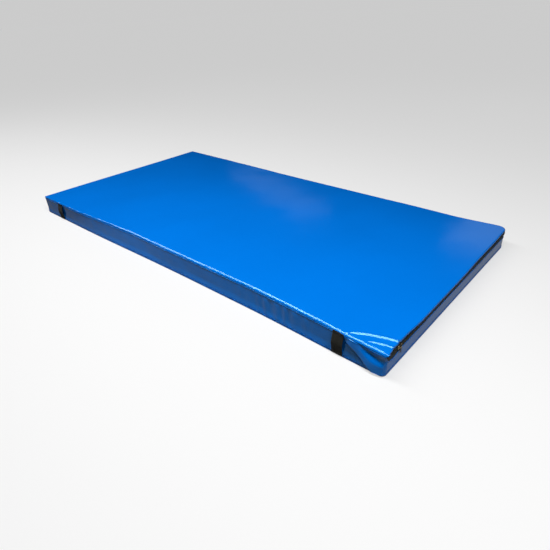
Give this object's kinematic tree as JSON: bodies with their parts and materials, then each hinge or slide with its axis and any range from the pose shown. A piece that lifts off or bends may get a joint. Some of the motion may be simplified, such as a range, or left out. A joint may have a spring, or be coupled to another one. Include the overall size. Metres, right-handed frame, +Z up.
{
  "type": "gym mat",
  "caption": "One-piece rectangular gym mat: foam block in a sewn coated-fabric cover, zipped at one end, with webbing carrying handles on its long sides.",
  "frame": {"origin": "the middle of the underside, where the mat rests on the floor", "axes": "+X along the mat's length towards the zipped end, +Y across it, +Z up out of the top face"},
  "size_m": [2.0071, 1.021, 0.084],
  "materials": {
    "cover_sheet": "satin",
    "base_sheet": "matte",
    "foam": "matte",
    "zipper_tape": "matte",
    "zipper_coil": "satin",
    "stop_metal": "satin",
    "slider_metal": "polished",
    "pull_tab": "satin",
    "webbing": "matte",
    "black_thread": "satin",
    "blue_thread": "satin"
  },
  "bodies": {
    "mat": {"foam_core": "foam", "top_panel": "cover_sheet", "bottom_panel": "base_sheet", "front_side_strip": "cover_sheet", "left_end_strip": "cover_sheet", "back_side_strip": "cover_sheet", "right_end_strip": "cover_sheet", "zipper_tape_upper": "zipper_tape", "zipper_tape_lower": "zipper_tape", "zipper_coil_upper": "zipper_coil", "zipper_coil_lower": "zipper_coil", "zipper_closed_stop": "stop_metal", "zipper_open_stop": "stop_metal", "handle_front_left": "webbing", "handle_front_right": "webbing", "handle_back_left": "webbing", "handle_back_right": "webbing", "handle_stitching": "black_thread", "top_seam_thread": "blue_thread", "bottom_seam_thread": "blue_thread", "zipper_seam_thread": "blue_thread", "corner_seam_thread": "blue_thread"},
    "slider": {"slider_body": "slider_metal"},
    "pull_tab": {"pull_tab": "pull_tab"}
  },
  "joints": [
    {"name": "slider_travel", "type": "slide", "parent": "mat", "child": "slider", "axis": [0, 1, 0], "range_m": [-0.038, 0.875]},
    {"name": "pull_tab_swing", "type": "hinge", "parent": "slider", "child": "pull_tab", "pos_m": [1.0041, -0.4205, 0.067], "axis": [1, 0, 0], "range_deg": [-45, 90]}
  ]
}
